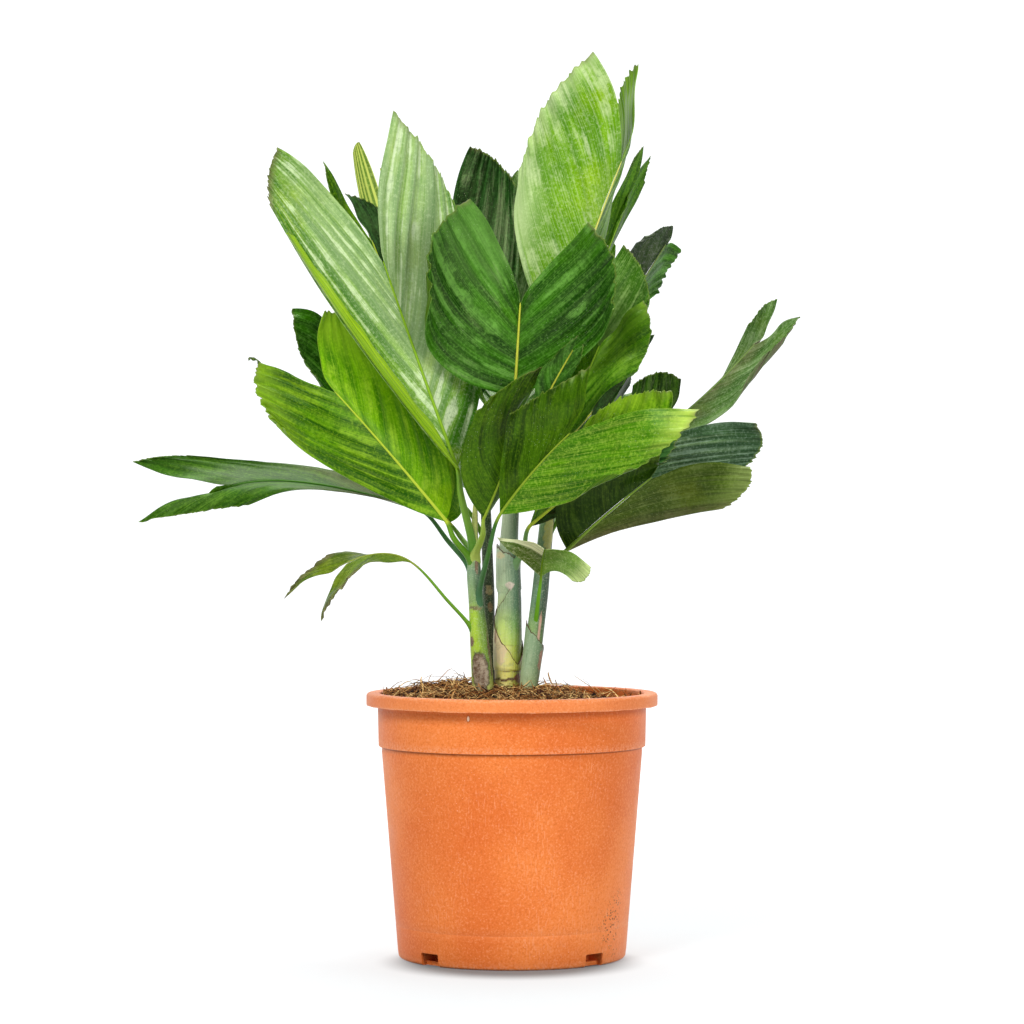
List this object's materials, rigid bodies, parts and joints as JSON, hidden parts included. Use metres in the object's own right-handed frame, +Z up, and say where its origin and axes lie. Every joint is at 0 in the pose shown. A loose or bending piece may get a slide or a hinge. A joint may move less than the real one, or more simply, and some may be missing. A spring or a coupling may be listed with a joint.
{
  "type": "potted metallic palm",
  "caption": "Small palm with upright canes and two-lobed, toothed, pleated green fronds, growing in a tapered orange-brown plastic nursery pot with a turned-down lip and drain notches.",
  "frame": {"origin": "centre of the pot's flat underside, where it rests", "axes": "+Z up along the pot's axis, -Y towards the side that the plant is best seen from, +X to the right in that view"},
  "size_m": [0.4792, 0.3119, 0.6514],
  "materials": {
    "pot_plastic": "satin orange-brown plastic with small scuffs",
    "potting_soil": "rough moist peat and coir",
    "cane": "smooth grey-green stem with sheath scars",
    "leaf": "glossy mid-green leaf with a metallic sheen",
    "bright_leaf": "glossy yellow-green leaf",
    "dark_leaf": "glossy dark green leaf"
  },
  "bodies": {
    "root": {"pot": "pot_plastic", "soil": "potting_soil", "cane_left": "cane", "cane_middle": "cane", "cane_right": "cane", "cane_back": "cane", "frond_long_left": "leaf", "frond_small_left": "leaf", "frond_high_left": "bright_leaf", "frond_low_left": "bright_leaf", "frond_behind_left": "dark_leaf", "frond_point_left": "dark_leaf", "frond_striped": "bright_leaf", "frond_dark_top": "dark_leaf", "frond_dark_narrow": "dark_leaf", "frond_front_high": "leaf", "frond_tallest": "bright_leaf", "frond_top_right": "leaf", "frond_purple": "dark_leaf", "frond_mid_right": "leaf", "frond_curled": "leaf", "frond_sliver": "leaf", "frond_round_dark": "dark_leaf", "frond_front_right": "bright_leaf", "frond_behind_right": "leaf", "frond_folded": "leaf", "frond_low_right": "leaf", "frond_blue_right": "dark_leaf", "frond_far_right": "leaf", "frond_crumpled": "dark_leaf", "frond_torn": "bright_leaf", "frond_back_left": "leaf", "frond_back_middle": "leaf", "frond_back_high": "leaf", "frond_back_right": "leaf", "frond_back_low_left": "leaf", "frond_back_low_right": "leaf", "frond_back_low": "leaf"}
  },
  "joints": []
}
